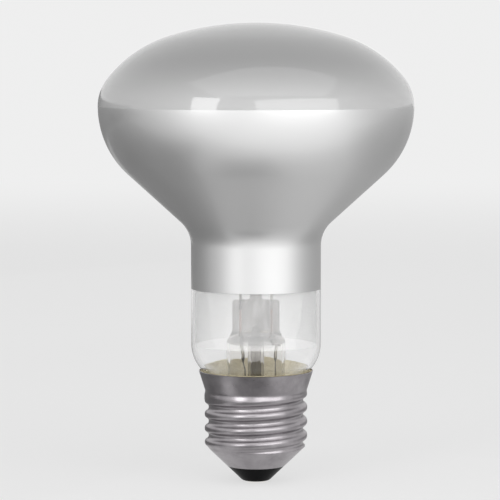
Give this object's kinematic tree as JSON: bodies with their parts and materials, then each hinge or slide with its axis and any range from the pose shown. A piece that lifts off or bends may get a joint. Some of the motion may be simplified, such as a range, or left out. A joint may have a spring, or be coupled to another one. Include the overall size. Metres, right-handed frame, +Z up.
{
  "type": "reflector bulb",
  "caption": "Mirrored reflector light bulb with a domed satin face, a cone and neck, a glass stem with filament, and a rolled Edison screw cap",
  "frame": {"origin": "on the lamp's axis at the underside of the centre contact, which is its lowest point", "axes": "+Z runs up the lamp's axis from the contact to the middle of the dome, +Y points to the back and +X to the right of the pictured side"},
  "size_m": [0.08, 0.08, 0.1167],
  "materials": {
    "bulb_glass": "blown soda glass, satin-etched outside on the dome and clear on the neck",
    "mirror_film": "vapour-deposited aluminium on the inside of the glass, thin and see-through at its lower band",
    "stem_glass": "clear glass, pinched and fire-polished",
    "tungsten": "drawn tungsten wire",
    "nickel": "nickel-plated wire",
    "molybdenum": "bare wire",
    "seal_wire": "copper-clad wire, pink through the glass",
    "fuse_wire": "bare wire",
    "cap_metal": "rolled sheet, satin",
    "black_glass": "black glass, fire-polished",
    "contact_brass": "pressed brass",
    "solder": "soft solder, dull",
    "cement": "baked resin cement, matt"
  },
  "bodies": {
    "root": {"glass_envelope": "bulb_glass", "mirror_coat": "mirror_film", "flare_tube": "stem_glass", "exhaust_tube": "stem_glass", "support_rod": "stem_glass", "filament": "tungsten", "inner_lead_left": "nickel", "inner_lead_right": "nickel", "filament_hook_left": "molybdenum", "filament_hook_middle": "molybdenum", "filament_hook_right": "molybdenum", "dumet_wire_left": "seal_wire", "dumet_wire_right": "seal_wire", "outer_lead_left": "nickel", "outer_lead_right": "nickel", "contact_wire_centre": "fuse_wire", "contact_wire_side": "fuse_wire", "screw_shell": "cap_metal", "insulator": "black_glass", "contact_eyelet": "contact_brass", "contact_solder": "solder", "side_solder": "solder", "basing_cement": "cement"}
  },
  "joints": []
}
